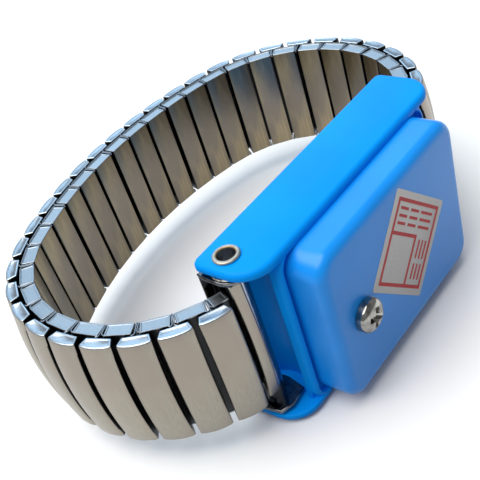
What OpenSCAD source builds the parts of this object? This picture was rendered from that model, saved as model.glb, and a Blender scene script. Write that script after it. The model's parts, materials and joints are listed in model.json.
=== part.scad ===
// Cordless anti-static wrist strap: a moulded box closed by a stainless expansion band.
// X runs along the box, +Y points from the box across the wrist, Z is the wrist axis.
// The origin lies on the wrist face of the box, midway between the hinge pins and at mid height.

/* [Band] */
// Width of the band along the wrist
band_w = 18; // [16:0.5:18]
// Number of outer links between the two end brackets
links = 31; // [30:1:32]
// Radius of the band's left side, on the line through the inner links
left_r = 19.6; // [19:0.1:20.5]
// Radius of the band's right side
right_r = 20.6; // [20.4:0.1:21.5]
// Radius of the flatter far side
far_r = 62; // [58:0.5:66]
// Sideways lean of the far side
far_x = 3.4; // [0:0.2:4]
// Distance from the hinge pins to the centre of the far arc, along Y
far_drop = 20.2; // [18:0.2:22]

/* [Links] */
// Width of an outer link along the band
outer_w = 4.25; // [4.25:0.05:4.4]
// Width of an inner link along the band
inner_w = 3.95; // [3.8:0.05:4]
// Thickness of an outer link's folded sleeve
sleeve_t = 1.3; // [1.2:0.05:1.35]
// Thickness of an inner link's folded sleeve
inner_t = 2.1; // [1.9:0.05:2.15]
// Sheet thickness of sleeves and shells
sheet = 0.2; // [0.15:0.01:0.2]
// Height of the domed shell over an outer link
dome_h = 0.55; // [0.4:0.05:0.7]
// Outward bow of that shell along the wrist axis
bow_h = 0.8; // [0.4:0.1:1]
// Wire radius of the staples
wire_r = 0.25; // [0.2:0.01:0.27]

/* [Box] */
// Length of the box over its end plates
box_l = 44.4; // [43:0.1:46]
// Height of the box along the wrist axis
box_h = 27; // [27:0.5:29]
// Depth of the base from the wrist side to the cover seam
base_d = 9.8; // [9.6:0.1:10.5]
// Distance between the two hinge pins
pin_span = 39; // [38.6:0.1:39.4]
// Thickness of the end plates
plate_t = 1.3; // [1.2:0.1:1.4]
// Length of the cover
cover_l = 33; // [31:0.1:33.2]
// Height of the cover
cover_h = 24.6; // [23:0.1:24.8]
// How far the cover stands proud of the base
cover_d = 5; // [4.5:0.1:6]
// Softness of the cover's front edges
cover_round = 1.8; // [1:0.1:2.2]

/* [Hardware] */
// Outer radius of the hollow hinge pins
pin_r = 1.5; // [1.4:0.05:1.55]
// Bore radius of the hollow hinge pins
pin_bore_r = 1.2; // [1:0.05:1.25]
// Radius of the rolled rim of a hinge pin
rim_r = 1.8; // [1.7:0.05:2]
// Radius of the discharge screw's head
screw_head_r = 2.35; // [2:0.05:2.5]
// Screw position along the box
screw_x = -10.4; // [-10.5:0.1:-9.5]
// Side of the square label
label_w = 14; // [12:0.1:14.2]
// Turn of the label on the cover
label_turn = 44; // [40:1:50]

/* [Hidden] */
$fn = 48;
eps = 0.01;
play = 0.05;

// Rows of the band, as offsets outward from the line through the inner links
inner_mid = -0.45;
outer_mid = 1.6;
leg_mid = 1.53;
inner_leg_mid = -0.5;
shell_gap = 0.02;
pin_inset = 0.8;
sleeve_inset = 0.6;
sleeve_h2 = band_w / 2 - sleeve_inset;
staple_z = band_w / 2 - 0.55;
staple_t = 0.25;
leaf_play = 0.3;

// Depths of the box, measured from its wrist face at y = 0
pin_y = -3.8;
base_out_y = -base_d;
cover_y = base_out_y - cover_d;
pin_x = pin_span / 2;
base_h2 = box_h / 2;
gap_h2 = base_h2 - plate_t;

// Legs of the staples, measured from the middle of a link
leg_l = 4.5;
outer_leg = 0.45;
inner_leg = 1.35;

// The narrow links on the brackets, close over the hinge pins
end_w = 2.25;
end_t = 1.1;
end_mid = 1.4;
end_dome = 0.3;
end_bow = 0.3;
end_leg = 1;

// The inner links beside them, cut short to clear the pins
link_cut = 1.75;
cut_leg = 0.7;
cut_leg_mid = -0.05;

// Three tangent arcs: both side centres lie on a circle round the far centre
far_c = [far_x, pin_y - far_drop];
left_c = arc_centre([-pin_x, pin_y], left_r, -1);
right_c = arc_centre([pin_x, pin_y], right_r, 1);
turn_1 = heading(left_c - far_c);
turn_2 = heading(right_c - far_c);
start_a = heading([-pin_x, pin_y] - left_c);
end_a = heading([pin_x, pin_y] - right_c);
len_left = left_r * (start_a - turn_1) * PI / 180;
len_far = far_r * (turn_1 - turn_2) * PI / 180;
len_right = right_r * (turn_2 - end_a) * PI / 180;
pitch = (len_left + len_far + len_right) / (links + 1);

// Every third link is drawn as two nodes, so that the band can also bend there
flex_every = 3;
two = [for (k = [1 : links]) str(k < 10 ? "0" : "", k)];
BOX_NODES = ["housing_base", "housing_cover", "threaded_insert", "discharge_screw", "solder_lug",
             "resistor_body", "resistor_leads", "contact_strip", "face_label",
             "left_hinge_pin", "right_hinge_pin"];
END_NODES = ["left_bracket", "right_bracket", "left_end_link", "right_end_link"];
PAIR_NODES = [for (k = [1 : links]) if (k % flex_every != 0) str("link_pair_", two[k - 1])];
OUTER_NODES = [for (k = [1 : links]) if (k % flex_every == 0) str("outer_link_", two[k - 1])];
INNER_NODES = [for (k = [1 : links]) if (k % flex_every == 0) str("inner_link_", two[k - 1])];

// Angle of a vector, measured anticlockwise from +Y
function heading(v) = atan2(-v[0], v[1]);

// Centre of a side arc, at r - pin_inset from its pin and tangent inside the far arc
function arc_centre(pin, r, side) =
    let (a = r - pin_inset, b = far_r - r, v = far_c - pin, d = norm(v),
         along = (a * a - b * b + d * d) / (2 * d), off = sqrt(a * a - along * along), u = v / d)
    pin + along * u + side * off * [u[1], -u[0]];

// Place on the band after s pitches from the left pin: [centre of arc, radius, angle]
function place(s) =
    let (l = s * pitch)
    l < len_left ? [left_c, left_r, start_a - l / left_r * 180 / PI]
    : l < len_left + len_far ? [far_c, far_r, turn_1 - (l - len_left) / far_r * 180 / PI]
    : [right_c, right_r, turn_2 - (l - len_left - len_far) / right_r * 180 / PI];

// World point of (along, outward) in the frame of the link at s
function at(s, along, outward) =
    let (p = place(s), a = p[2], r = p[1] + outward)
    p[0] + r * [-sin(a), cos(a)] + along * [cos(a), sin(a)];

module on_band(s) {
    p = at(s, 0, 0);
    translate([p[0], p[1], 0]) rotate([0, 0, place(s)[2]]) children();
}

// Both edges of the band, the lower one turned over
module both_edges() {
    children();
    mirror([0, 0, 1]) children();
}

// A bar of round ends between two points of the XY plane
module round_bar(a, b, r, t) {
    v = b - a;
    translate([a[0], a[1], 0]) cylinder(r = r, h = t);
    translate([b[0], b[1], 0]) cylinder(r = r, h = t);
    translate([a[0], a[1], 0]) rotate([0, 0, atan2(v[1], v[0])])
        translate([0, -r, 0]) cube([norm(v), 2 * r, t]);
}

// Rectangle with a corner radius, in exact arcs
module round_rect(w, h, r) {
    square([w - 2 * r, h], center = true);
    square([w, h - 2 * r], center = true);
    for (x = [-1, 1], y = [-1, 1])
        translate([x * (w / 2 - r), y * (h / 2 - r)]) circle(r = r);
}

// ---- band ----

// Folded sleeve, open at both edges of the band
module sleeve(w, mid, t) {
    color("silver") difference() {
        translate([-w / 2, mid - t / 2, -sleeve_h2]) cube([w, t, 2 * sleeve_h2]);
        translate([sheet - w / 2, mid - t / 2 + sheet, -sleeve_h2 - 1])
            cube([w - 2 * sheet, t - 2 * sheet, 2 * sleeve_h2 + 2]);
    }
}

// Flat leaf spring under the outer wall of a sleeve whose face is at y
module leaf_spring(w, y) {
    leaf_t = 0.1;
    gap = 0.02;
    end_gap = 0.4;
    color("dimgray") translate([-w / 2, y - sheet - leaf_t - gap, -sleeve_h2 + end_gap])
        cube([w, leaf_t, 2 * (sleeve_h2 - end_gap)]);
}

// Radius of an arc that rises by h over a chord of 2 * half
function arc_r(half, h) = (half * half + h * h) / (2 * h);

// Shell over a sleeve, domed across and bowed along, folded down over both edges of the band
module shell(w, mid, t, dome, bow) {
    top = mid + t / 2 + shell_gap;
    crown = top + dome + bow;
    h2 = band_w / 2;
    dome_r = arc_r(w / 2, dome);
    bow_r = arc_r(h2, bow);
    color("gainsboro") {
        intersection() {
            translate([-w / 2, top, -h2]) cube([w, dome + bow, 2 * h2]);
            translate([0, crown - dome_r, -h2]) cylinder(r = dome_r, h = 2 * h2, $fn = 96);
            translate([-w / 2, crown - bow_r, 0]) rotate([0, 90, 0])
                cylinder(r = bow_r, h = w, $fn = 192);
        }
        both_edges() translate([-w / 2, top - t, h2 - sheet]) cube([w, t + eps, sheet]);
    }
}

module outer_link() {
    sleeve(outer_w, outer_mid, sleeve_t);
    leaf_spring(outer_w - 2 * sheet - leaf_play, outer_mid + sleeve_t / 2);
    shell(outer_w, outer_mid, sleeve_t, dome_h, bow_h);
}

// The narrow links on the brackets, joined to the upper ear by a tab
module end_link(side) {
    translate([side * (outer_w - end_w) / 2, 0, 0]) {
        sleeve(end_w, end_mid, end_t);
        shell(end_w, end_mid, end_t, end_dome, end_bow);
        color("gainsboro") translate([-end_w / 2, end_mid - end_t / 2, band_w / 2 - eps])
            cube([end_w, end_t, ear_z - band_w / 2 + eps]);
    }
}

// Inner link; side points away from the pin that it is cut short for
module inner_link(side = 0) {
    w = side == 0 ? inner_w : inner_w - link_cut;
    translate([side * link_cut / 2, 0, 0]) {
        sleeve(w, inner_mid, inner_t);
        leaf_spring(w - 2 * sheet - leaf_play, inner_mid + inner_t / 2);
    }
}

// U staple at each edge: one leg in an outer link, the other in an inner link
module staples(a, b) {
    color("silver") both_edges() {
        translate([0, 0, staple_z]) round_bar(a, b, wire_r, staple_t);
        for (p = [a, b])
            translate([p[0], p[1], staple_z - leg_l]) cylinder(r = wire_r, h = leg_l + eps);
    }
}

// Staples from outer link k to the inner link half a pitch on
module near_staples(k) {
    first = k == 0;
    outer = first ? at(k, end_leg, end_mid) : at(k, outer_leg, leg_mid);
    inner = first ? at(k + 0.5, cut_leg, cut_leg_mid) : at(k + 0.5, -inner_leg, inner_leg_mid);
    staples(outer, inner);
}

// Staples from that inner link to the next outer link, where their legs slide
module far_staples(k) {
    last = k == links;
    inner = last ? at(k + 0.5, -cut_leg, cut_leg_mid) : at(k + 0.5, inner_leg, inner_leg_mid);
    outer = at(k + 1, -outer_leg, last ? end_mid : leg_mid);
    staples(outer, inner);
}

module inner_part(k) {
    side = k == 0 ? 1 : (k == links ? -1 : 0);
    on_band(k + 0.5) inner_link(side);
    near_staples(k);
    far_staples(k);
}

module link_pair(k) {
    on_band(k) outer_link();
    inner_part(k);
}

// ---- end brackets ----

ear_z = band_w / 2 + 2;
ear_t = 0.6;
ear_r = 2.9;
web_t = 0.7;

// Outline of a left bracket's ear in the frame of its end link, with x away from the box
module ear_outline() {
    root_y = -pin_inset - ear_r;
    translate([0, -pin_inset]) circle(r = ear_r);
    translate([-1.2, root_y]) square([4.6, 3]);
    polygon([[-3, -1], [3.4, -1], [3.4, -0.6], [1.9, 2.8], [0, 3.1], [-3, 2]]);
}

// Chromed U bracket: two ears on the hinge pin, joined by a web on the wrist side
module bracket() {
    color("slategray") {
        both_edges() translate([0, 0, ear_z]) difference() {
            linear_extrude(height = ear_t) ear_outline();
            translate([0, -pin_inset, -1]) cylinder(r = pin_r + play, h = ear_t + 2);
        }
        translate([-0.6, -pin_inset - ear_r, -ear_z - eps])
            cube([4, web_t, 2 * ear_z + 2 * eps]);
    }
}

module left_bracket() {
    on_band(0) bracket();
}

module right_bracket() {
    on_band(links + 1) mirror([1, 0, 0]) bracket();
}

module left_end_link() {
    on_band(0) end_link(1);
    inner_part(0);
}

module right_end_link() {
    on_band(links + 1) end_link(-1);
}

// ---- box ----

pocket_r = 5.3;
floor_t = 1.2;
core_r = 1;
seam_r = 3.4;
cover_r = 2.8;
cavity_l = 26.4;
rim_w = 0.8;
seam_w = 0.6;
seam_d = 0.8;
cover_wall = 1.4;
screw_z = -0.6;
screw_r = 1.25;
boss_r = 3.3;
insert_r = 2.1;
insert_l = 4;
insert_y = cover_y + 2.2;
strip_z = gap_h2 - 0.4;
strip_t = 0.3;
strip_w = 2.4;
slot_w = 3.2;
slot_t = 0.6;
pin_floor = 0.7;
screw_head_h = 1.9;

// Plan outline of the end plates, with softer corners on the cover side
module plate_outline() {
    r_out = 4.4;
    r_in = 1.2;
    difference() {
        translate([0, base_out_y / 2]) round_rect(box_l, base_d, r_in);
        for (m = [0, 1]) mirror([m, 0]) translate([box_l / 2 - r_out, base_out_y - 1])
            difference() {
                square([r_out + 1, r_out + 1]);
                translate([0, r_out + 1]) circle(r = r_out);
            }
    }
}

// Plan outline of the base between the plates, hollowed round each hinge
module core_outline() {
    difference() {
        translate([0, base_out_y / 2]) round_rect(cover_l + 2 * (seam_w + rim_w), base_d, core_r);
        for (x = [-1, 1]) translate([x * pin_x, pin_y]) circle(r = pocket_r);
    }
}

module housing_base() {
    color("dodgerblue") difference() {
        union() {
            translate([0, 0, -base_h2]) linear_extrude(height = box_h) core_outline();
            both_edges() translate([0, 0, gap_h2]) linear_extrude(height = plate_t) plate_outline();
        }
        translate([-cavity_l / 2, base_out_y - 1, -gap_h2])
            cube([cavity_l, base_d - floor_t + 1, 2 * gap_h2]);
        translate([0, base_out_y + seam_d, 0]) rotate([90, 0, 0])
            linear_extrude(height = seam_d + 1)
                round_rect(cover_l + 2 * seam_w, cover_h + 2 * seam_w, seam_r);
        translate([-pin_x, pin_y, -gap_h2 - pin_floor]) cylinder(r = pin_r, h = box_h);
        translate([pin_x, pin_y, -box_h + gap_h2 + pin_floor]) cylinder(r = pin_r, h = box_h);
        translate([-pin_x, pin_y - slot_w / 2, gap_h2 - slot_t])
            cube([pin_x - cavity_l / 2 + 1, slot_w, slot_t]);
    }
}

// Cover outlines for three crossing extrusions, which round its front edges exactly
module cover_side(w) {
    translate([-w / 2, 0]) square([w, cover_d + seam_d - cover_round]);
    translate([-w / 2 + cover_round, 0]) square([w - 2 * cover_round, cover_d + seam_d]);
    for (x = [-1, 1]) translate([x * (w / 2 - cover_round), cover_d + seam_d - cover_round])
        circle(r = cover_round);
}

module cover_body() {
    intersection() {
        translate([0, base_out_y + seam_d, 0]) rotate([90, 0, 0])
            linear_extrude(height = cover_d + seam_d) round_rect(cover_l, cover_h, cover_r);
        translate([0, base_out_y + seam_d, -cover_h / 2]) mirror([0, 1, 0])
            linear_extrude(height = cover_h) cover_side(cover_l);
        translate([-cover_l / 2, base_out_y + seam_d, 0]) mirror([0, 1, 0]) rotate([0, 90, 0])
            linear_extrude(height = cover_l) cover_side(cover_h);
    }
}

module along_y(x, y, z) {
    translate([x, y, z]) rotate([-90, 0, 0]) children();
}

module housing_cover() {
    color("steelblue") difference() {
        union() {
            difference() {
                cover_body();
                translate([-cavity_l / 2, cover_y + cover_wall, -cover_h / 2 + cover_wall])
                    cube([cavity_l, cover_d + 5, cover_h - 2 * cover_wall]);
            }
            along_y(screw_x + 0.4, cover_y + 1, screw_z)
                cylinder(r = boss_r - 0.3, h = insert_y + insert_l - cover_y - 1);
            along_y(screw_x, cover_y + 1, screw_z) cylinder(r = insert_r + 0.5, h = 4);
        }
        along_y(screw_x, cover_y - 1, screw_z) cylinder(r = screw_r + 0.15, h = 12);
        along_y(screw_x, insert_y, screw_z) cylinder(r = insert_r, h = 8);
    }
}

module threaded_insert() {
    color("goldenrod") along_y(screw_x, insert_y, screw_z) difference() {
        cylinder(r = insert_r, h = insert_l);
        translate([0, 0, -1]) cylinder(r = screw_r, h = insert_l + 2);
    }
}

// Pan head screw with a cross recess, its head on the face of the cover
module discharge_screw() {
    shank_l = 7.6;
    dome_r = 3.4;
    color("lightgray") along_y(screw_x, cover_y, screw_z) {
        difference() {
            intersection() {
                translate([0, 0, -screw_head_h]) cylinder(r = screw_head_r, h = screw_head_h);
                translate([0, 0, dome_r - screw_head_h]) sphere(r = dome_r);
            }
            for (a = [0, 90]) rotate([0, 0, a + 20])
                translate([-1.3, -0.3, -screw_head_h - 1]) cube([2.6, 0.6, 2]);
        }
        cylinder(r = screw_r, h = shank_l);
    }
}

// Ring tag held against the end of the insert
module solder_lug() {
    y = insert_y + insert_l;
    color("silver") {
        along_y(screw_x, y, screw_z) difference() {
            cylinder(r = 2.2, h = 0.4);
            translate([0, 0, -1]) cylinder(r = screw_r + 0.1, h = 3);
        }
        translate([screw_x + 2, y, screw_z - 0.9]) cube([3.2, 0.4, 1.8]);
    }
}

resistor_l = 6.4;
resistor_r = 1.2;
resistor_x = 2.5;
resistor_y = -floor_t - 1.8;
lead_r = 0.3;

module resistor_body() {
    color("tan") translate([resistor_x - resistor_l / 2, resistor_y, screw_z])
        rotate([0, 90, 0]) difference() {
            cylinder(r = resistor_r, h = resistor_l);
            for (z = [-eps, resistor_l - 0.8])
                translate([0, 0, z]) cylinder(r = lead_r + play, h = 0.8 + eps);
        }
}

// Two bent leads: one rises to the solder tag, one runs to the contact strip
module resistor_leads() {
    lug_x = screw_x + 4.6;
    lug_y = insert_y + insert_l + 0.4;
    strip_x = resistor_x + resistor_l / 2 + 2;
    color("silver") {
        translate([lug_x, resistor_y, screw_z]) rotate([0, 90, 0])
            cylinder(r = lead_r, h = resistor_x - resistor_l / 2 + 0.7 - lug_x);
        along_y(lug_x, lug_y, screw_z) cylinder(r = lead_r, h = resistor_y - lug_y);
        translate([lug_x, resistor_y, screw_z]) sphere(r = lead_r);
        translate([strip_x, resistor_y, screw_z]) sphere(r = lead_r);
        translate([resistor_x + resistor_l / 2 - 0.7, resistor_y, screw_z]) rotate([0, 90, 0])
            cylinder(r = lead_r, h = 2.7);
        translate([strip_x, resistor_y, screw_z]) cylinder(r = lead_r, h = strip_z - screw_z);
    }
}

// Bronze strip from the resistor to a ring round the left hinge pin
module contact_strip() {
    ring_r = 2.7;
    end_x = resistor_x + resistor_l / 2 + 3;
    color("peru") translate([0, 0, strip_z]) difference() {
        union() {
            translate([-pin_x, pin_y, 0]) cylinder(r = ring_r, h = strip_t);
            translate([-pin_x, pin_y - strip_w / 2, 0]) cube([pin_x + end_x, strip_w, strip_t]);
            translate([end_x - 2, pin_y - strip_w / 2, 0])
                cube([2, resistor_y - pin_y + 2, strip_t]);
        }
        translate([-pin_x, pin_y, -1]) cylinder(r = pin_r + play, h = 3);
    }
}

// Hollow rivet: a tube with a rolled rim at its open end
module hinge_pin() {
    l = box_h - plate_t + pin_floor;
    rim_t = 0.4;
    color("silver") rotate_extrude() {
        translate([pin_bore_r, base_h2 - l]) square([pin_r - pin_bore_r, l + rim_t]);
        translate([pin_bore_r, base_h2]) square([rim_r - pin_bore_r - rim_t / 2, rim_t]);
        translate([rim_r - rim_t / 2, base_h2 + rim_t / 2]) circle(r = rim_t / 2);
    }
}

module left_hinge_pin() {
    translate([-pin_x, pin_y, 0]) hinge_pin();
}

module right_hinge_pin() {
    translate([pin_x, pin_y, 0]) mirror([0, 0, 1]) hinge_pin();
}

label_x = 1.5;
label_z = 1.2;

// Plain square sticker, turned on its corner
module face_label() {
    color("gainsboro") translate([label_x, cover_y, label_z]) rotate([90, label_turn, 0])
        linear_extrude(height = 0.1) round_rect(label_w, label_w, 0.4);
}

housing_base();
housing_cover();
threaded_insert();
discharge_screw();
solder_lug();
resistor_body();
resistor_leads();
contact_strip();
face_label();
left_hinge_pin();
right_hinge_pin();
left_bracket();
right_bracket();
left_end_link();
right_end_link();
for (k = [1 : links]) {
    union() {
        if (k % flex_every != 0) link_pair(k);
    }
    union() {
        if (k % flex_every == 0) on_band(k) outer_link();
    }
    union() {
        if (k % flex_every == 0) inner_part(k);
    }
}
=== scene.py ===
"""Cordless wrist strap: a blue moulded box closed by a stainless expansion band."""

import json
import math

import bmesh
import bpy
from mathutils import Matrix, Vector
from mathutils.geometry import convex_hull_2d


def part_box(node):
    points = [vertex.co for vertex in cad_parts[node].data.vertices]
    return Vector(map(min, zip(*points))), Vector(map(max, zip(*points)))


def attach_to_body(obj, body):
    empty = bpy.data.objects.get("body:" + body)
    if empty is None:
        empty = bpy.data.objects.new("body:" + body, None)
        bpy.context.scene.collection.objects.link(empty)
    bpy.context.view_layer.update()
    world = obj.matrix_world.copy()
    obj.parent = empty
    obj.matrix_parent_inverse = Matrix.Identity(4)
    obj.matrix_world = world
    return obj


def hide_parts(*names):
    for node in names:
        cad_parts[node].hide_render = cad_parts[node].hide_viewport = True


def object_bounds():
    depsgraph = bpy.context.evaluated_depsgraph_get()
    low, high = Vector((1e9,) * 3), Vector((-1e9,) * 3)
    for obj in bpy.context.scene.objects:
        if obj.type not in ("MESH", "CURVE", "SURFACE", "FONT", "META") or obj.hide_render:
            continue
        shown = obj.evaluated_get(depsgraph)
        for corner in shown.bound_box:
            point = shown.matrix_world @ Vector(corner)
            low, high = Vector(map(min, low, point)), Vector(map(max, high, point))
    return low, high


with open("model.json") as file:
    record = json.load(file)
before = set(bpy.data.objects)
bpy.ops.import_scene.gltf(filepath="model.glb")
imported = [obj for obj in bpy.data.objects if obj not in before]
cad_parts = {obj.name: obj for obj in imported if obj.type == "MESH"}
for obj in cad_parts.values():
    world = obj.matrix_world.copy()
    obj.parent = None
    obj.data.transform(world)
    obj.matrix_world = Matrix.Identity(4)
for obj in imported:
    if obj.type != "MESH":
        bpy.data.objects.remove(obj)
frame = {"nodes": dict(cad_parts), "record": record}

CAD_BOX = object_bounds()
MM = 0.001

# ---- sizes in millimetres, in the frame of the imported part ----

# Outer links of the band; it bends at every FLEX_EVERYth
LINKS = sum(n.startswith(("link_pair", "outer_link")) for n in frame["nodes"])
FLEX_EVERY = 3

pin_low, pin_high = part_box("left_hinge_pin")
PIN_X = -(pin_low.x + pin_high.x) / 2 / MM
PIN_Y = (pin_low.y + pin_high.y) / 2 / MM
base_low, base_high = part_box("housing_base")
BOX_HALF = base_high.x / MM
BASE_OUT = base_low.y / MM
BASE_IN = base_high.y / MM
BASE_TOP = base_high.z / MM
cover_low, cover_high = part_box("housing_cover")
COVER_Y = cover_low.y / MM
COVER_HALF = cover_high.x / MM
COVER_TOP = cover_high.z / MM

# The band's line: radii of its three arcs, centre of the far arc, and the pins' depth inside it
LEFT_R, RIGHT_R, FAR_R = 19.6, 20.6, 62.0
FAR_X, FAR_DROP = 3.4, 20.2
PIN_INSET = 0.8

# The box: end plates, plastic left under a rivet, front rim, hinge pockets and the cover's seam
PLATE_T = 1.3
PIN_FLOOR = 0.7
RIM_HALF = 17.9
POCKET_R = 4.6
SEAM_DEPTH = 1.0
RIVET_HOLE_R = 1.4
LABEL_TURN = math.radians(44)
LABEL_HALF = 6.8

# Half widths and half lengths of the links. Inner links are cut at CUT_X beside the hinge pins
# and at BEND_X where the band bends.
OUTER_X, INNER_X, CUT_X, BEND_X = 2.3, 1.975, 0.225, 1.755
OUTER_HALF, INNER_HALF = 9.0, 8.9

# Spring strips: their thickness, and the heights they stand between at each edge
STRIP_T = 0.13
STRIP_Z = (8.6, 9.0)

# Brackets: inner face, thickness and radius of their ears
EAR_Z, EAR_T, EAR_R = 11.0, 0.6, 2.85


# ---- the band's path: three tangent arcs ----

def heading(v):
    """Angle of a plane vector, anticlockwise from +Y."""
    return math.atan2(-v.x, v.y)


def arc_centre(pin, radius, side):
    """Centre of a side arc that passes its pin and touches the far arc from inside."""
    a, b = radius - PIN_INSET, FAR_R - radius
    v = FAR_C - pin
    d = v.length
    along = (a * a - b * b + d * d) / (2 * d)
    off = math.sqrt(a * a - along * along)
    u = v / d
    return pin + along * u + side * off * Vector((u.y, -u.x))


FAR_C = Vector((FAR_X, PIN_Y - FAR_DROP))
LEFT_PIN, RIGHT_PIN = Vector((-PIN_X, PIN_Y)), Vector((PIN_X, PIN_Y))
LEFT_C = arc_centre(LEFT_PIN, LEFT_R, -1)
RIGHT_C = arc_centre(RIGHT_PIN, RIGHT_R, 1)
TURNS = [heading(LEFT_PIN - LEFT_C), heading(LEFT_C - FAR_C),
         heading(RIGHT_C - FAR_C), heading(RIGHT_PIN - RIGHT_C)]
ARCS = [(LEFT_C, LEFT_R, TURNS[0], TURNS[1]), (FAR_C, FAR_R, TURNS[1], TURNS[2]),
        (RIGHT_C, RIGHT_R, TURNS[2], TURNS[3])]
PITCH = sum(r * (a - b) for _, r, a, b in ARCS) / (LINKS + 1)


def place(s):
    """Centre, radius and angle of the band's line after s pitches from the left pin."""
    travel = s * PITCH
    for centre, radius, start, end in ARCS:
        length = radius * (start - end)
        if travel <= length or end == TURNS[3]:
            return centre, radius, start - travel / radius
        travel -= length


def on_band(s):
    """Matrix of the link at s: x along the band, y outward, z along the wrist."""
    centre, radius, angle = place(s)
    point = (centre + radius * Vector((-math.sin(angle), math.cos(angle)))) * MM
    return Matrix.Translation((point.x, point.y, 0)) @ Matrix.Rotation(angle, 4, "Z")


def at(s, along, outward):
    """Plane point, in millimetres, in the frame of the link at s."""
    centre, radius, angle = place(s)
    out = Vector((-math.sin(angle), math.cos(angle)))
    return centre + (radius + outward) * out + along * Vector((math.cos(angle), math.sin(angle)))


# ---- outlines: functions that take a depth and give the closed outline inset by it ----

def round_corners(corners, radii, steps):
    """Closed anticlockwise outline through corners, each rounded to its own radius."""
    points = []
    count = len(corners)
    for i, (c, radius) in enumerate(zip(corners, radii)):
        if radius <= 0:
            points.append(c)
            continue
        a = (corners[i - 1] - c).normalized()
        b = (corners[(i + 1) % count] - c).normalized()
        half = math.acos(max(-1, min(1, a.dot(b)))) / 2
        centre = c + (a + b).normalized() * radius / math.sin(half)
        start = c + a * radius / math.tan(half) - centre
        turn = (math.pi - 2 * half) / steps
        for k in range(steps + 1):
            t = turn * k
            points.append(centre + Vector((start.x * math.cos(t) - start.y * math.sin(t),
                                           start.x * math.sin(t) + start.y * math.cos(t))))
    return points


def mitred(points, depth):
    """Closed anticlockwise points moved inward by depth."""
    moved = []
    for i, p in enumerate(points):
        before = (p - points[i - 1]).normalized()
        after = (points[(i + 1) % len(points)] - p).normalized()
        n1, n2 = Vector((-before.y, before.x)), Vector((-after.y, after.x))
        moved.append(p + depth * (n1 + n2) / max(1 + n1.dot(n2), 0.4))
    return moved


def polygon(corners, radii, steps=6):
    """Outline through corners, each with its own radius."""
    corners = [Vector(c) for c in corners]
    return lambda depth: round_corners(mitred(corners, depth),
                                       [r and max(r - depth, 0.02) for r in radii], steps)


def rectangle(x0, x1, y0, y1, radius, steps=6):
    return polygon([(x0, y0), (x1, y0), (x1, y1), (x0, y1)], [radius] * 4, steps)


def ribbon(path, width):
    """Strip of the given width along a plane path."""
    def outline(depth):
        right, left = [], []
        for i, p in enumerate(path):
            before = (p - path[i - 1]).normalized() if i else None
            after = (path[i + 1] - p).normalized() if i + 1 < len(path) else None
            d1, d2 = before or after, after or before
            n = Vector((-(d1.y + d2.y), d1.x + d2.x)) / max(1 + d1.dot(d2), 0.4)
            left.append(p + n * (width / 2 - depth))
            right.append(p - n * (width / 2 - depth))
        return right + left[::-1]
    return outline


def bezier(a, b, c, steps=5):
    return [a * (1 - t) ** 2 + b * 2 * t * (1 - t) + c * t * t
            for t in [k / steps for k in range(steps + 1)]]


def rounding(radius, steps=4):
    """(inset, height) pairs round an edge, from the side of a solid to its top."""
    return [(radius * (1 - math.cos(a)), radius * math.sin(a))
            for a in [math.pi / 2 * k / steps for k in range(steps + 1)]]


# ---- meshes ----

def loft(bm, rings, closed=False):
    """Skin over rings of equal length, capped at both ends unless they close on themselves."""
    loops = [[bm.verts.new(Vector(p) * MM) for p in ring] for ring in rings]
    pairs = list(zip(loops, loops[1:])) + ([(loops[-1], loops[0])] if closed else [])
    for low, high in pairs:
        for i in range(len(low)):
            j = (i + 1) % len(low)
            bm.faces.new((low[i], low[j], high[j], high[i]))
    if not closed:
        bm.faces.new(loops[0][::-1])
        bm.faces.new(loops[-1])


def slab(bm, outline, z0, z1, low_edge, high_edge, recess=0, stations=0):
    """Upright solid on an outline with rounded edges, its ends recessed inside a thin rim."""
    rings = []
    if recess:
        rings.append((low_edge + 0.2, z0 + recess))
        rings.append((low_edge + 0.14, z0))
    rings += [(d, z0 + low_edge - h) for d, h in reversed(rounding(low_edge))]
    step = (z1 - high_edge - z0 - low_edge) / (stations + 1)
    rings += [(0, z0 + low_edge + step * (k + 1)) for k in range(stations)]
    rings += [(d, z1 - high_edge + h) for d, h in rounding(high_edge)]
    if recess:
        rings.append((high_edge + 0.14, z1))
        rings.append((high_edge + 0.2, z1 - recess))
    loft(bm, [[(p.x, p.y, z) for p in outline(d)] for d, z in rings])


def lathe(bm, profile, centre, axis="Z", steps=64):
    """Solid of revolution; profile holds (radius, height), the axis pointing along +Z or -Y."""
    rings = []
    for k in range(steps):
        a = 2 * math.pi * k / steps
        ring = [(r * math.cos(a), r * math.sin(a), h) for r, h in profile]
        if axis == "-Y":
            ring = [(x, -h, y) for x, y, h in ring]
        rings.append([Vector(p) + Vector(centre) for p in ring])
    loft(bm, rings, closed=True)
    bmesh.ops.remove_doubles(bm, verts=bm.verts, dist=1e-7)


def mesh_from(name, bm, materials, pick=None, sharp=38):
    """Turns a bmesh into a mesh; pick(face) chooses a material by index."""
    bmesh.ops.recalc_face_normals(bm, faces=bm.faces)
    bm.normal_update()
    for face in bm.faces:
        face.smooth = True
        if pick:
            face.material_index = pick(face)
    mesh = bpy.data.meshes.new(name)
    bm.to_mesh(mesh)
    bm.free()
    mesh.set_sharp_from_angle(angle=math.radians(sharp))
    for m in materials:
        mesh.materials.append(m)
    return mesh


def instance(name, mesh, matrix=None):
    """Object on a mesh that others may share."""
    obj = bpy.data.objects.new(name, mesh)
    bpy.context.scene.collection.objects.link(obj)
    if matrix:
        obj.matrix_world = matrix
    return obj


def make(name, bm, materials, matrix=None, sharp=38):
    return instance(name, mesh_from(name, bm, materials, sharp=sharp), matrix)


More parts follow.
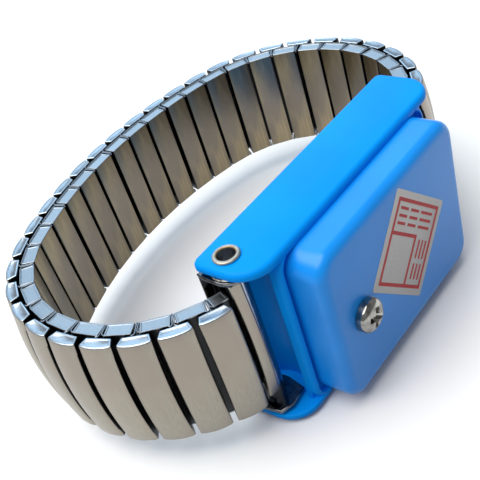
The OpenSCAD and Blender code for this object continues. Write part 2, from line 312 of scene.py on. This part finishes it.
def carve(obj, bm):
    """Cuts the solid in bm out of an object and keeps the result as its mesh."""
    cutter = make("cutter", bm, obj.data.materials)
    boolean = obj.modifiers.new("carve", "BOOLEAN")
    boolean.operation = "DIFFERENCE"
    boolean.solver = "EXACT"
    boolean.use_self = True
    boolean.object = cutter
    graph = bpy.context.evaluated_depsgraph_get()
    mesh = bpy.data.meshes.new_from_object(obj.evaluated_get(graph))
    obj.modifiers.clear()
    obj.data = mesh
    mesh.set_sharp_from_angle(angle=math.radians(30))
    bpy.data.objects.remove(cutter)


def attach(obj, body, slot, *nodes):
    """Puts a piece on its body and hides the CAD nodes it stands for; slot is not used."""
    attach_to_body(obj, body)
    if nodes:
        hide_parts(*nodes)
    return obj


# ---- materials ----

class Nodes:
    """Small helper for building a material's node tree."""

    def __init__(self, name):
        self.material = bpy.data.materials.new(name)
        self.material.use_nodes = True
        self.tree = self.material.node_tree
        self.surface = self.tree.nodes["Principled BSDF"]

    def add(self, kind, **values):
        node = self.tree.nodes.new(kind)
        for key, value in values.items():
            if hasattr(node, key):
                setattr(node, key, value)
            else:
                node.inputs[key.replace("_", " ")].default_value = value
        return node

    def link(self, a, b):
        self.tree.links.new(a, b)

    def set(self, **values):
        for key, value in values.items():
            self.surface.inputs[key.replace("_", " ")].default_value = value

    def noise(self, scale, stretch=(1, 1, 1), detail=3.0):
        """Noise in object space; scale counts features per metre."""
        coords = self.add("ShaderNodeTexCoord")
        mapping = self.add("ShaderNodeMapping", Scale=stretch)
        noise = self.add("ShaderNodeTexNoise", Scale=scale, Detail=detail)
        self.link(coords.outputs["Object"], mapping.inputs["Vector"])
        self.link(mapping.outputs["Vector"], noise.inputs["Vector"])
        return noise.outputs["Fac"]

    def ramp(self, source, *stops):
        """Colour ramp; stops hold (position, colour)."""
        ramp = self.add("ShaderNodeValToRGB")
        elements = ramp.color_ramp.elements
        while len(elements) < len(stops):
            elements.new(0.5)
        for element, (position, colour) in zip(elements, stops):
            element.position = position
            element.color = (*colour, 1)
        self.link(source, ramp.inputs["Fac"])
        return ramp.outputs["Color"]

    def mix(self, factor, a, b, blend="MIX"):
        node = self.add("ShaderNodeMix", data_type="RGBA", blend_type=blend)
        for value, socket in ((factor, node.inputs[0]), (a, node.inputs[6]), (b, node.inputs[7])):
            if hasattr(value, "is_linked"):
                self.link(value, socket)
            elif isinstance(value, (int, float)):
                socket.default_value = value
            else:
                socket.default_value = (*value, 1)
        return node.outputs[2]

    def spread(self, source, low, high):
        node = self.add("ShaderNodeMapRange")
        node.inputs["To Min"].default_value = low
        node.inputs["To Max"].default_value = high
        self.link(source, node.inputs["Value"])
        return node.outputs["Result"]

    def bump(self, source, depth):
        """Relief of the given depth in metres."""
        node = self.add("ShaderNodeBump", Distance=depth)
        self.link(source, node.inputs["Height"])
        self.link(node.outputs["Normal"], self.surface.inputs["Normal"])

    def colour(self, source):
        self.link(source, self.surface.inputs["Base Color"])

    def rough(self, source):
        self.link(source, self.surface.inputs["Roughness"])


def steel(name, light, dark, roughness, streak=0.5, tint=None):
    """Brushed steel: fine streaks along the link, slow drift to a tint, each piece its own shade."""
    n = Nodes(name)
    streaks = n.noise(1.0, (9000, 9000, 160), 4.0)
    drift = n.noise(1.0, (260, 260, 90), 2.0)
    colour = n.ramp(streaks, (0.5 - streak / 2, dark), (0.5 + streak / 2, light))
    if tint:
        colour = n.mix(n.ramp(drift, (0.42, (0, 0, 0)), (0.6, (1, 1, 1))), colour, tint)
    info = n.add("ShaderNodeObjectInfo")
    shade = n.ramp(info.outputs["Random"], (0.0, (0.86, 0.86, 0.86)), (1.0, (1, 1, 1)))
    colour = n.mix(1.0, colour, shade, "MULTIPLY")
    n.colour(colour)
    n.rough(n.spread(streaks, roughness - 0.07, roughness + 0.1))
    n.bump(streaks, 0.000006)
    n.set(Metallic=1.0)
    return n.material


def plastic(name, light, dark, roughness, shine):
    """Moulded plastic with slow tone changes and a faint spark-eroded grain."""
    n = Nodes(name)
    tone = n.noise(90.0, detail=2.0)
    grain = n.noise(5200.0, detail=4.0)
    n.colour(n.ramp(tone, (0.35, dark), (0.65, light)))
    n.rough(n.spread(grain, roughness - 0.05, roughness + 0.07))
    n.bump(grain, 0.000005)
    n.set(IOR=1.5, Specular_IOR_Level=shine)
    return n.material


def plated(name, light, dark, roughness=0.18, scale=1400.0):
    """Plated or drawn metal with faint mottling."""
    n = Nodes(name)
    mottle = n.noise(scale, detail=3.0)
    n.colour(n.ramp(mottle, (0.35, dark), (0.65, light)))
    n.rough(n.spread(mottle, roughness - 0.05, roughness + 0.1))
    n.bump(mottle, 0.000008)
    n.set(Metallic=1.0)
    return n.material


def matte(name, light, dark, scale=3000.0, roughness=0.5):
    """Paper, print or lacquer: a mottled dielectric."""
    n = Nodes(name)
    mottle = n.noise(scale, detail=4.0)
    n.colour(n.ramp(mottle, (0.3, dark), (0.7, light)))
    n.rough(n.spread(mottle, roughness - 0.08, roughness + 0.08))
    n.bump(mottle, 0.000006)
    return n.material


OUTER_STEEL = steel("outer_steel", (0.4, 0.375, 0.32), (0.3, 0.28, 0.235), 0.34,
                    tint=(0.34, 0.3, 0.255))
INNER_STEEL = steel("inner_steel", (0.43, 0.355, 0.225), (0.2, 0.165, 0.11), 0.32,
                    tint=(0.22, 0.19, 0.15))
# Near-black steel for link sides and the inner links' outward walls: painted shade for the gaps
# between links.
PAINTED_SHADE_STEEL = steel("side_steel_painted_shade", (0.055, 0.057, 0.06), (0.03, 0.03, 0.032), 0.35)
# Link ends: the same steel made lighter and bluish, a painted highlight and painted reflection of the
# blue light the ends face.
PAINTED_HIGHLIGHT_END_STEEL = steel("painted_highlight_end_steel", (0.58, 0.66, 0.74), (0.4, 0.47, 0.54), 0.3, 0.6)
INNER_PAINTED_HIGHLIGHT_END_STEEL = steel("inner_end_steel", (0.5, 0.54, 0.58), (0.3, 0.34, 0.38), 0.34, 0.6)
HAIRPIN_STEEL = steel("hairpin_steel", (0.42, 0.46, 0.5), (0.28, 0.31, 0.35), 0.3)
PIN_STEEL = plated("pin_steel", (0.56, 0.51, 0.43), (0.4, 0.36, 0.3), 0.38)
# Darker brown for the rivet's bore: painted shade and painted reflection inside the hole.
BORE_PAINTED_SHADE = plated("bore_painted_shade", (0.42, 0.29, 0.17), (0.26, 0.18, 0.1), 0.5)
BARREL = plated("barrel", (0.42, 0.44, 0.47), (0.32, 0.34, 0.37), 0.2)
# Screw head: the strong light and dark mottle is painted reflection of the crumpled plating, and the
# bump under it is the plating's real relief.
SCREW_PAINTED_REFLECTION_STEEL = plated("screw_steel", (0.44, 0.43, 0.4), (0.2, 0.195, 0.185), 0.12, 900.0)
CHROME = plated("chrome", (0.2, 0.21, 0.23), (0.1, 0.105, 0.115), 0.08)
BLUE = plastic("blue_plastic", (0.001, 0.32, 0.98), (0.001, 0.29, 0.9), 0.36, 0.06)
COVER_BLUE = plastic("cover_plastic", (0.002, 0.3, 0.93), (0.002, 0.27, 0.86), 0.3, 0.42)
FILM = matte("label_film", (0.64, 0.62, 0.6), (0.56, 0.55, 0.53), 2600.0, 0.42)
PRINT_RED = matte("label_print", (0.5, 0.006, 0.008), (0.4, 0.005, 0.006), 2600.0, 0.55)
SLOT_FINISH = {
    "brass": plated("brass", (0.72, 0.52, 0.2), (0.6, 0.42, 0.15), 0.25),
    "bronze_strip": plated("bronze_strip", (0.7, 0.66, 0.58), (0.55, 0.5, 0.42), 0.2),
    "tinned_strip": plated("tinned_strip", (0.66, 0.66, 0.64), (0.54, 0.54, 0.53), 0.3),
    "resistor_lacquer": matte("resistor_lacquer", (0.55, 0.42, 0.26), (0.46, 0.34, 0.2)),
}


# ---- band ----

def outer_profile():
    """Section of an outer link: sides leaning out to a gently domed face."""
    foot, base, shoulder, crown = 1.8, 0.95, 2.42, 2.8
    dome = [(OUTER_X * t, shoulder + (crown - shoulder) * (1 - t * t))
            for t in (0.8, 0.6, 0.4, 0.2, 0, -0.2, -0.4, -0.6, -0.8)]
    corners = [(-foot, base), (foot, base), (OUTER_X, shoulder - 0.1), *dome,
               (-OUTER_X, shoulder - 0.1)]
    return polygon(corners, [0.14, 0.14, 0.22, *[0] * len(dome), 0.22], 3)


def outer_pick(face):
    """Worn face, sides darkened as painted shade, and ends brightened as a painted highlight, of an
    outer link.
    """
    n = face.normal
    return 2 if abs(n.z) > 0.6 else (0 if n.y > 0.3 else 1)


def inner_pick(face):
    """Wrist face, sides and outward wall darkened as painted shade, and ends brightened as a painted
    highlight, of an inner link.
    """
    n = face.normal
    return 2 if abs(n.z) > 0.6 else (0 if n.y < -0.4 else 1)


def bow(bm, base, top, middle, ends):
    """Moves what lies above base outward: by middle at mid length, by ends at the ends."""
    for v in bm.verts:
        share = min(max((v.co.y / MM - base) / (top - base), 0), 1)
        t = v.co.z / MM / OUTER_HALF
        v.co.y += share * (middle + (ends - middle) * t * t) * MM


def outer_mesh():
    """Bowed shell of an outer link."""
    bm = bmesh.new()
    slab(bm, outer_profile(), -OUTER_HALF, OUTER_HALF, 0.2, 0.2, recess=0.05, stations=11)
    bow(bm, base=0.95, top=2.4, middle=0.85, ends=-0.05)
    return mesh_from("outer_shell", bm, [OUTER_STEEL, PAINTED_SHADE_STEEL, PAINTED_HIGHLIGHT_END_STEEL], outer_pick)


def end_mesh(name, x0, x1):
    """Narrow link of a bracket: a bowed strip close over the hinge pin."""
    bm = bmesh.new()
    outline = rectangle(x0, x1, 0.78, 1.6, 0.35, 5)
    slab(bm, outline, -OUTER_HALF + 0.3, EAR_Z - 0.1, 0.15, 0.1, stations=9)
    bow(bm, base=0.9, top=1.6, middle=0.6, ends=0)
    return mesh_from(name, bm, [OUTER_STEEL, PAINTED_SHADE_STEEL, PAINTED_HIGHLIGHT_END_STEEL], outer_pick)


def inner_mesh(name, x0, x1):
    """Folded sleeve of an inner link, from x0 to x1 along the band."""
    bm = bmesh.new()
    outline = rectangle(x0, x1, -1.5, 0.6, 0.16, 3)
    slab(bm, outline, -INNER_HALF, INNER_HALF, 0.12, 0.12, recess=0.06)
    return mesh_from(name, bm, [INNER_STEEL, PAINTED_SHADE_STEEL, INNER_PAINTED_HIGHLIGHT_END_STEEL], inner_pick)


def hairpin_path(k):
    """Line of a spring strip: along inner link k, round the slot and under outer link k + 1."""
    start = -0.1 if k == 0 else -1.7
    edge, leg, turn_y = 0.52, 0.11, -1.15
    under = 0.6 if k == LINKS else 0.86
    path = [at(k + 0.5, start, edge), at(k + 0.5, 0, edge)]
    path += bezier(at(k + 0.5, 1.65, edge), at(k + 1, -leg, edge), at(k + 1, -leg, 0.1))
    for i in range(7):
        a = math.pi + math.pi * i / 6
        path.append(at(k + 1, leg * math.cos(a), turn_y + leg * math.sin(a)))
    path += bezier(at(k + 1, leg, 0.4), at(k + 1, leg, under), at(k + 1, 0.55, under))
    return path


def hairpins(k, body):
    """Spring strips at both edges of inner link k."""
    bm = bmesh.new()
    outline = ribbon(hairpin_path(k), STRIP_T)
    low, high = STRIP_Z
    for z0, z1 in ((low, high), (-high, -low)):
        slab(bm, outline, z0, z1, 0.035, 0.035)
    obj = make("hairpins_%02d" % k, bm, [HAIRPIN_STEEL])
    attach(obj, body, "link_steel")


def body_names(k):
    """Bodies that outer link k and inner link k + 1/2 ride on."""
    if k == 0:
        return "left_arm", "left_arm"
    if k % FLEX_EVERY:
        return "link_%02d" % k, "link_%02d" % k
    return "outer_%02d" % k, "inner_%02d" % k


def replaced_nodes(k):
    """CAD nodes that outer link k and inner link k + 1/2 stand for."""
    if k == 0:
        return ["left_end_link"], []
    if k % FLEX_EVERY:
        return ["link_pair_%02d" % k], []
    return ["outer_link_%02d" % k], ["inner_link_%02d" % k]


def build_band():
    """All links and spring strips, the end strips of both brackets among them."""
    shell = outer_mesh()
    end_strip = end_mesh("left_end_strip", 0.3, 2.1)
    block = inner_mesh("inner_block", -INNER_X, INNER_X)
    blocks = {0: inner_mesh("left_cut_block", -CUT_X, INNER_X),
              LINKS: inner_mesh("right_cut_block", -INNER_X, CUT_X)}
    bend_block = inner_mesh("bend_block", -BEND_X, INNER_X)
    blocks.update({k: bend_block for k in range(FLEX_EVERY, LINKS, FLEX_EVERY)})
    for k in range(LINKS + 1):
        outer_body, inner_body = body_names(k)
        outer_nodes, inner_nodes = replaced_nodes(k)
        name = "outer_shell_%02d" % k if k else "left_end_strip"
        outer = instance(name, shell if k else end_strip, on_band(k))
        attach(outer, outer_body, "link_steel", *outer_nodes)
        inner = instance("inner_block_%02d" % k, blocks.get(k, block), on_band(k + 0.5))
        attach(inner, inner_body, "link_steel", *inner_nodes)
        hairpins(k, inner_body)
    end_strip = end_mesh("right_end_strip", -2.1, -0.3)
    outer = instance("right_end_strip", end_strip, on_band(LINKS + 1))
    attach(outer, "right_arm", "link_steel", "right_end_link")


# ---- end brackets ----

def ear_outline(sign, front):
    """Ear of a bracket in its end link's frame: round the pin, its front and its root at the web."""
    pin = Vector((0, -PIN_INSET))
    points = [pin + EAR_R * Vector((math.cos(a), math.sin(a)))
              for a in [2 * math.pi * i / 40 for i in range(40)]]
    root = ((3.3, -2.6), (3.3, -3.65), (-1.1, -3.65))
    points += [Vector((sign * x, y)) for x, y in (*front, *root)]
    hull = [points[i] for i in convex_hull_2d(points)]
    return polygon(hull, [0] * len(hull))


def bracket(name, s, sign, body):
    """Two ears joined by a web behind the hinge; sign points along the band."""
    bm = bmesh.new()
    upper = ear_outline(sign, ((-2.95, 1.6), (0.9, 1.9)))
    lower = ear_outline(sign, ((-2.95, 1.9), (0, 3.05), (1.9, 2.75), (3.35, -0.6)))
    slab(bm, upper, EAR_Z, EAR_Z + EAR_T, 0.2, 0.2)
    slab(bm, lower, -EAR_Z - EAR_T, -EAR_Z, 0.2, 0.2)
    web = rectangle(*sorted((sign * -0.5, sign * 3.3)), -3.65, -3.05, 0.2, 4)
    slab(bm, web, -EAR_Z - 0.3, EAR_Z + 0.3, 0.05, 0.05)
    obj = make(name + "_plates", bm, [CHROME], on_band(s))
    attach(obj, body, "chromed_steel", name)


# ---- box ----

def plate_outline():
    corners = [(-BOX_HALF, BASE_OUT), (BOX_HALF, BASE_OUT), (BOX_HALF, BASE_IN), (-BOX_HALF, BASE_IN)]
    return polygon(corners, [4.4, 4.4, 1.2, 1.2], 10)


def core_outline():
    """Plan of the box between its end plates, hollowed round each hinge."""
    front, half = BASE_OUT + SEAM_DEPTH, RIM_HALF - 0.04
    first = math.atan2(-math.sqrt(POCKET_R ** 2 - (PIN_X - half) ** 2), half - PIN_X)
    last = math.pi - math.asin((BASE_IN - PIN_Y) / POCKET_R) - 2 * math.pi
    arc = [Vector((PIN_X + POCKET_R * math.cos(a), PIN_Y + POCKET_R * math.sin(a)))
           for a in [first + (last - first) * i / 16 for i in range(17)]]
    arc = [p for p in arc if p.y > front + 0.05]
    right = [Vector((half, front))] + arc
    points = [Vector((-half, front))] + right + [Vector((-p.x, p.y)) for p in reversed(arc)]
    return polygon(points, [0] * len(points))


def facing(outline, y):
    """Outline of the X-Z plane as points at depth y."""
    return [(p.x, y, p.y) for p in outline]


def front_rim(bm):
    """Rounded frame on the front of the base, round the seam of the cover."""
    top = BASE_TOP - 0.03
    outline = rectangle(-RIM_HALF, RIM_HALF, -top, top, 3.4, 10)
    width = RIM_HALF - COVER_HALF - 0.6
    front, back, radius = BASE_OUT, BASE_OUT + 1.6, 0.75
    section = [(0, back)]
    section += [(d, front + radius - h) for d, h in rounding(radius, 5)]
    section += [(width - d, front + radius - h) for d, h in reversed(rounding(0.45, 4))]
    section += [(width, back)]
    loft(bm, [facing(outline(d), y) for d, y in section], closed=True)


def build_base():
    """Core, two end plates with a hole over each rivet's bore, and the front rim."""
    bm = bmesh.new()
    slab(bm, core_outline(), -BASE_TOP + 1.2, BASE_TOP - 1.2, 0.02, 0.02)
    core = make("base_core", bm, [BLUE])
    attach(core, "housing", "blue_plastic", "housing_base")
    for name, z0, edges, pin_x in (("top_plate", BASE_TOP - PLATE_T, (0.25, 0.7), -PIN_X),
                                   ("bottom_plate", -BASE_TOP, (0.7, 0.25), PIN_X)):
        bm = bmesh.new()
        slab(bm, plate_outline(), z0, z0 + PLATE_T, *edges)
        plate = make(name, bm, [BLUE])
        attach(plate, "housing", "blue_plastic")
        hole = bmesh.new()
        lathe(hole, [(0, -2), (RIVET_HOLE_R, -2), (RIVET_HOLE_R, 2), (0, 2)], (pin_x, PIN_Y, z0))
        carve(plate, hole)
    bm = bmesh.new()
    front_rim(bm)
    attach(make("front_rim", bm, [BLUE]), "housing", "blue_plastic")


def build_cover():
    """Cover standing in the base's rim, its front edge well rounded."""
    bm = bmesh.new()
    outline = rectangle(-COVER_HALF, COVER_HALF, -COVER_TOP, COVER_TOP, 3.2, 12)
    radius = 1.5
    rings = [(0, BASE_OUT + SEAM_DEPTH + 0.4), (0, BASE_OUT - 1.0)]
    rings += [(d, COVER_Y + radius - h) for d, h in rounding(radius, 8)]
    loft(bm, [facing(outline(d), y) for d, y in rings])
    attach(make("cover_shell", bm, [COVER_BLUE]), "housing", "blue_plastic", "housing_cover")


def label_matrix():
    low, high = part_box("face_label")
    return Matrix.Translation((low + high) / 2) @ Matrix.Rotation(LABEL_TURN, 4, "Y")


def build_label():
    bm = bmesh.new()
    outline = rectangle(-LABEL_HALF, LABEL_HALF, -LABEL_HALF, LABEL_HALF, 0.35, 4)
    loft(bm, [facing(outline(d), y) for d, y in ((0, 0.05), (0, -0.03), (0.03, -0.05))])
    film = make("label_film", bm, [FILM], label_matrix())
    attach(film, "housing", "label_film", "face_label")


def print_bar(bm, x0, x1, z0, z1):
    """One printed stroke, just proud of the label film."""
    outline = rectangle(x0, x1, z0, z1, 0.04, 2)
    loft(bm, [facing(outline(0), -0.045), facing(outline(0), -0.07)])


def build_print():
    """Plain print of the label: a frame, an empty square field and rows of dashes."""
    edge, line, split = LABEL_HALF - 0.95, 0.5, 1.45
    bm = bmesh.new()
    for low, high in ((-edge, -edge + line), (edge - line, edge)):
        print_bar(bm, -edge, edge, low, high)
        print_bar(bm, low, high, -edge + line, edge - line)
    print_bar(bm, split - line, split, -edge + line, split)
    print_bar(bm, -edge + line, split - line, split - line, split)
    for row in (2.35, 3.35, 4.35):
        for start, end in ((-4.8, -2.6), (-1.9, 0.4), (1.1, 4.4)):
            print_bar(bm, start, end, row, row + 0.4)
        for start, end in ((-4.6, -2.4), (-1.7, 0.9)):
            print_bar(bm, row, row + 0.4, start, end)
    attach(make("label_print", bm, [PRINT_RED], label_matrix()), "housing", "label_film")


# ---- fittings ----

def build_pin(name, x, sign):
    """Hollow rivet with a rolled rim standing on one end plate."""
    bore, tube, rim, top = 1.2, 1.5, 1.8, 0.4
    z = sign * BASE_TOP
    bottom = PLATE_T - PIN_FLOOR - 2 * BASE_TOP
    section = [(bore, bottom), (tube, bottom), (tube, -0.05), (rim - 0.08, -0.02)]
    section += [(rim - 0.22 + 0.22 * math.cos(a), 0.18 + 0.22 * math.sin(a))
                for a in [math.pi / 2 * (i - 1) / 4 for i in range(6)]]
    section += [(bore + 0.16, top), (bore + 0.05, top - 0.06), (bore, top - 0.18)]
    bm = bmesh.new()
    lathe(bm, [(r, sign * h) for r, h in section], (x, PIN_Y, z))
    middle = Vector((x, PIN_Y, 0)) * MM

    # Faces inside the bore above the plate get the darker brown: painted shade and painted
    # reflection.
    def pick(face):
        if abs(face.calc_center_median().z) > (BASE_TOP - PLATE_T) * MM:
            away = face.calc_center_median() - middle
            return 1 if away.x * face.normal.x + away.y * face.normal.y < -0.5 * bore * MM else 0
        return 2

    rivet = instance(name + "_rivet", mesh_from(name, bm, [PIN_STEEL, BORE_PAINTED_SHADE, BARREL], pick))
    attach(rivet, "housing", "pin_steel", name)


def build_screw():
    """Pan head with a cross recess, on a shank that ends in the insert."""
    low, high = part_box("discharge_screw")
    centre = ((low.x + high.x) / 2 / MM, COVER_Y, (low.z + high.z) / 2 / MM)
    radius, height, wall = 2.35, 1.9, 0.8
    section = [(0, -3.0), (1.25, -3.0), (1.25, 0.01), (radius - 0.1, 0.01), (radius, 0.1)]
    section += [(radius, wall)]
    section += [(radius * math.cos(a) ** 0.8, wall + (height - wall) * math.sin(a))
                for a in [math.pi / 2 * i / 8 for i in range(1, 8)]]
    section += [(0, height)]
    bm = bmesh.new()
    lathe(bm, section, centre, "-Y")
    head = make("screw_head", bm, [SCREW_PAINTED_REFLECTION_STEEL])
    carve(head, cross_recess(centre, height))
    attach(head, "housing", "screw_steel", "discharge_screw")


def cross_recess(centre, height):
    """Cutter for a cross recess with leaning walls in the screw's head."""
    bm = bmesh.new()
    for turn in (20, 110):
        spin = Matrix.Rotation(math.radians(turn), 3, "Y")
        rings = []
        for half, width, rise in ((0.8, 0.24, -0.8), (1.9, 0.5, 0.2), (2.0, 0.52, 0.5)):
            outline = rectangle(-half, half, -width, width, 0.05, 2)
            rings.append([spin @ Vector((p.x, -height - rise, p.y)) + Vector(centre)
                          for p in outline(0)])
        loft(bm, rings)
    return bm


def finish_cad_nodes():
    """Carried-over CAD nodes take the finish of their material slot."""
    slots = {s["node"]: s["material_slot"] for s in frame["record"]["subparts"]}
    for name, node in frame["nodes"].items():
        finish = SLOT_FINISH.get(slots.get(name))
        if finish is None or node.hide_render:
            continue
        node.data.materials.clear()
        node.data.materials.append(finish)


# ---- stage ----

def build_stage():
    """Floor: white to the camera, and grey to diffuse rays so that it throws up little light."""
    floor_z = CAD_BOX[0].z - 0.0001
    bm = bmesh.new()
    size = 1.5
    bm.faces.new([bm.verts.new((x * size, y * size, floor_z))
                  for x, y in ((-1, -1), (1, -1), (1, 1), (-1, 1))])
    n = Nodes("studio_floor")
    tone = n.ramp(n.noise(6.0), (0.3, (0.93, 0.93, 0.93)), (0.7, (0.95, 0.95, 0.95)))
    path = n.add("ShaderNodeLightPath")
    n.colour(n.mix(path.outputs["Is Diffuse Ray"], tone, (0.35, 0.35, 0.36)))
    n.set(Roughness=0.9)
    floor = make("studio_floor", bm, [n.material])


def area_light(name, direction, distance, size, watts, colour):
    data = bpy.data.lights.new(name, "AREA")
    data.shape, data.size, data.energy, data.color = "DISK", size, watts, colour
    lamp = bpy.data.objects.new(name, data)
    bpy.context.scene.collection.objects.link(lamp)
    way = Vector(direction).normalized()
    lamp.location = (CAD_BOX[0] + CAD_BOX[1]) / 2 + way * distance
    lamp.rotation_euler = way.to_track_quat("Z", "Y").to_euler()


def build_lights():
    """Pale surroundings, a broad soft sun and a bluish panel that tints steel and cover."""
    world = bpy.data.worlds.new("studio")
    world.use_nodes = True
    background = world.node_tree.nodes["Background"]
    background.inputs["Color"].default_value = (0.95, 0.97, 1.0, 1)
    background.inputs["Strength"].default_value = 0.32
    bpy.context.scene.world = world
    area_light("sky_panel", (0.52, 0.61, 0.62), 0.35, 0.34, 0.45, (0.5, 0.76, 1.0))
    data = bpy.data.lights.new("key", "SUN")
    data.angle, data.energy, data.color = math.radians(60), 3.2, (1.0, 0.98, 0.95)
    lamp = bpy.data.objects.new("key", data)
    bpy.context.scene.collection.objects.link(lamp)
    lamp.rotation_euler = Vector((-0.35, 0.2, 1.0)).to_track_quat("Z", "Y").to_euler()
    bpy.context.scene.view_settings.view_transform = "Standard"


def build_camera():
    """Camera at the photo's angle, rolled round its line of sight."""
    data = bpy.data.cameras.new("camera")
    data.lens, data.sensor_width = 62.53, 36.0
    data.clip_start, data.clip_end = 0.005, 10
    camera = bpy.data.objects.new("camera", data)
    bpy.context.scene.collection.objects.link(camera)
    eye = Vector((-68.8, BASE_IN - 64.8, 73.97)) * MM
    target = Vector((-6.47, BASE_IN + 8.14, 1.9)) * MM
    aim = (eye - target).to_track_quat("Z", "Y").to_matrix().to_4x4()
    roll = Matrix.Rotation(math.radians(-19.19), 4, "Z")
    camera.matrix_world = Matrix.Translation(eye) @ aim @ roll
    bpy.context.scene.camera = camera


build_band()
bracket("left_bracket", 0, 1, "left_arm")
bracket("right_bracket", LINKS + 1, -1, "right_arm")
build_base()
build_cover()
build_label()
build_print()
build_pin("left_hinge_pin", -PIN_X, 1)
build_pin("right_hinge_pin", PIN_X, -1)
build_screw()
finish_cad_nodes()
build_stage()
build_lights()
build_camera()
